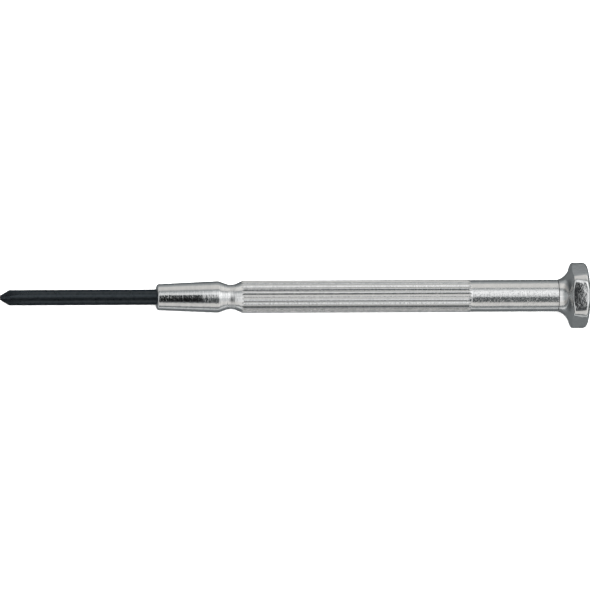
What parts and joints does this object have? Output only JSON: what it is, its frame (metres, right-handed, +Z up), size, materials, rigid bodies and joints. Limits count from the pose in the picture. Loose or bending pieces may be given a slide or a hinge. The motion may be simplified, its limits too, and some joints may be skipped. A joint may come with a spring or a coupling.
{
  "type": "watchmaker screwdriver",
  "caption": "Slim metal precision screwdriver with a cross-point blade, a fluted grip behind a finger waist, and a six-sided palm head that turns freely.",
  "frame": {"origin": "middle of the base of the tool's box: half way along it, below its axis, on the plane of the head's lowest flat", "axes": "+X along the tool's axis from the point to the domed head, +Z up, away from the flat that the head rests on, +Y across"},
  "size_m": [0.115, 0.0128, 0.0118],
  "materials": {
    "black_steel": "satin",
    "handle_chrome": "polished",
    "bronze": "satin",
    "ball_steel": "polished",
    "washer_steel": "satin",
    "pin_steel": "satin",
    "ring_steel": "satin",
    "head_chrome": "polished"
  },
  "bodies": {
    "handle": {"handle": "handle_chrome", "blade": "black_steel", "bearing_bush": "bronze", "thrust_washer": "washer_steel"},
    "head": {"swivel_head": "head_chrome", "swivel_pin": "pin_steel", "retaining_ring": "ring_steel"},
    "ball": {"thrust_ball": "ball_steel"}
  },
  "joints": [
    {"name": "head_swivel", "type": "hinge", "parent": "handle", "child": "head", "pos_m": [0.05115, 0, 0.0059], "axis": [1, 0, 0], "continuous": true},
    {"name": "ball_roll", "type": "hinge", "parent": "handle", "child": "ball", "pos_m": [0.04369, 0, 0.0059], "axis": [1, 0, 0], "continuous": true}
  ],
  "couplings": [
    {"joint": "ball_roll", "follows": "head_swivel", "ratio": 0.5}
  ]
}
